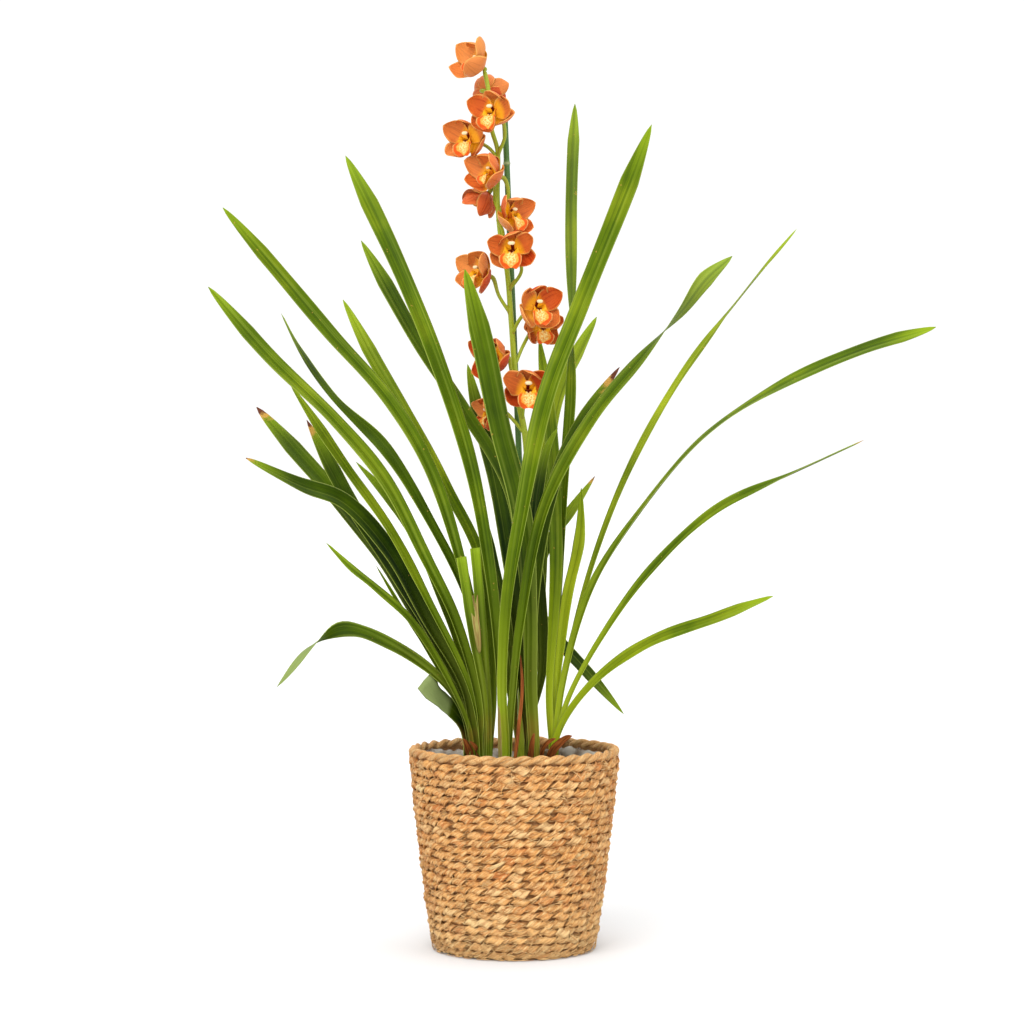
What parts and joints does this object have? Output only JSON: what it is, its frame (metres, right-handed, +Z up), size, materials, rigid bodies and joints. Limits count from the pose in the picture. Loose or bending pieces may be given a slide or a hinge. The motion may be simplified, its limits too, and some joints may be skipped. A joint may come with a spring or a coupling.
{
  "type": "cymbidium orchid in basket",
  "caption": "Flowering cymbidium orchid with long arching strap leaves and a staked spray of cupped blooms, standing in its nursery pot inside a coiled seagrass basket.",
  "frame": {"origin": "middle of the basket's underside, on the surface it stands on", "axes": "+Z up along the basket's axis, +X to the right as seen from the front, +Y away from the front"},
  "size_m": [0.8028, 0.3644, 0.9965],
  "materials": {
    "seagrass": "dry plaited seagrass coils, matt",
    "seagrass_rim": "two-ply seagrass rope, matt",
    "liner_film": "thin crumpled plastic film",
    "pot_plastic": "dark moulded plastic",
    "bark_chips": "damp bark chips",
    "leaf": "leathery satin leaf",
    "flower_stalk": "smooth satin stem",
    "bamboo": "green stained bamboo cane",
    "petal": "waxy terracotta petal",
    "lip": "waxy cream lip with an orange rim"
  },
  "bodies": {
    "root": {"basket": "seagrass", "basket_rim": "seagrass_rim", "liner": "liner_film", "nursery_pot": "pot_plastic", "bark": "bark_chips", "shoot_left": "leaf", "shoot_front_left": "leaf", "shoot_front": "leaf", "shoot_middle": "leaf", "shoot_right": "leaf", "shoot_back": "leaf", "flower_stem": "flower_stalk", "stake": "bamboo", "bloom_01_petals": "petal", "bloom_01_lip": "lip", "bloom_02_petals": "petal", "bloom_02_lip": "lip", "bloom_03_petals": "petal", "bloom_03_lip": "lip", "bloom_04_petals": "petal", "bloom_04_lip": "lip", "bloom_05_petals": "petal", "bloom_05_lip": "lip", "bloom_06_petals": "petal", "bloom_06_lip": "lip", "bloom_07_petals": "petal", "bloom_07_lip": "lip", "bloom_08_petals": "petal", "bloom_08_lip": "lip", "bloom_09_petals": "petal", "bloom_09_lip": "lip", "bloom_10_petals": "petal", "bloom_10_lip": "lip", "bloom_11_petals": "petal", "bloom_11_lip": "lip", "bloom_12_petals": "petal", "bloom_12_lip": "lip", "bloom_13_petals": "petal", "bloom_13_lip": "lip", "bloom_14_petals": "petal", "bloom_14_lip": "lip"}
  },
  "joints": []
}
